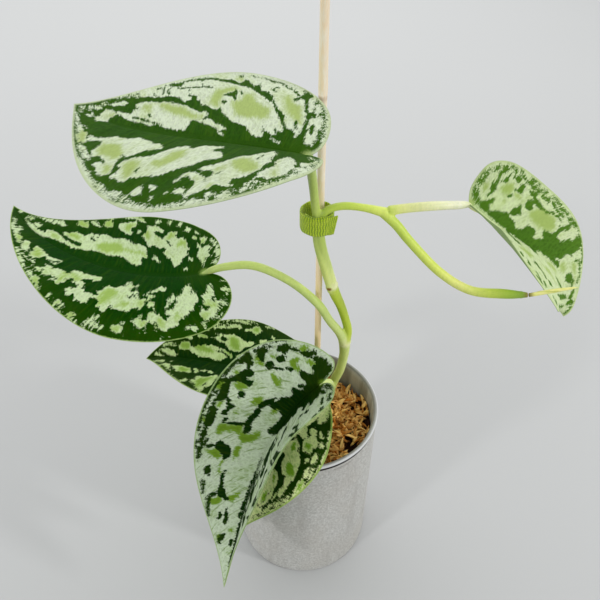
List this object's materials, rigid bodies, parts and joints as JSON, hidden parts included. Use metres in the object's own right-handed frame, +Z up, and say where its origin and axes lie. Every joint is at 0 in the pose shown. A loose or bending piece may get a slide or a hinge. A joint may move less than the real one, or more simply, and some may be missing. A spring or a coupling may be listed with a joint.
{
  "type": "satin pothos",
  "caption": "Young satin pothos vine with silver-splashed leaves, tied to a thin stake and standing in moss in a small straight-sided pot.",
  "frame": {"origin": "centre of the pot's flat foot, on the surface it stands on", "axes": "+Z up, along the plant's height; -Y towards the front, where a leaf hangs over the pot's rim; the side shoot grows to +X"},
  "size_m": [0.2668, 0.1252, 0.3452],
  "materials": {
    "pot": "matte",
    "moss": "matte",
    "stake": "satin",
    "tie": "matte",
    "vine": "satin",
    "new_leaf": "satin",
    "leaf": "satin"
  },
  "bodies": {
    "root": {"pot": "pot", "moss": "moss", "stake": "stake", "tie": "tie", "vine": "vine", "new_leaf": "new_leaf", "leaf_a": "leaf", "leaf_b": "leaf", "leaf_c": "leaf", "leaf_d": "leaf", "leaf_e": "leaf", "leaf_f": "leaf"}
  },
  "joints": []
}
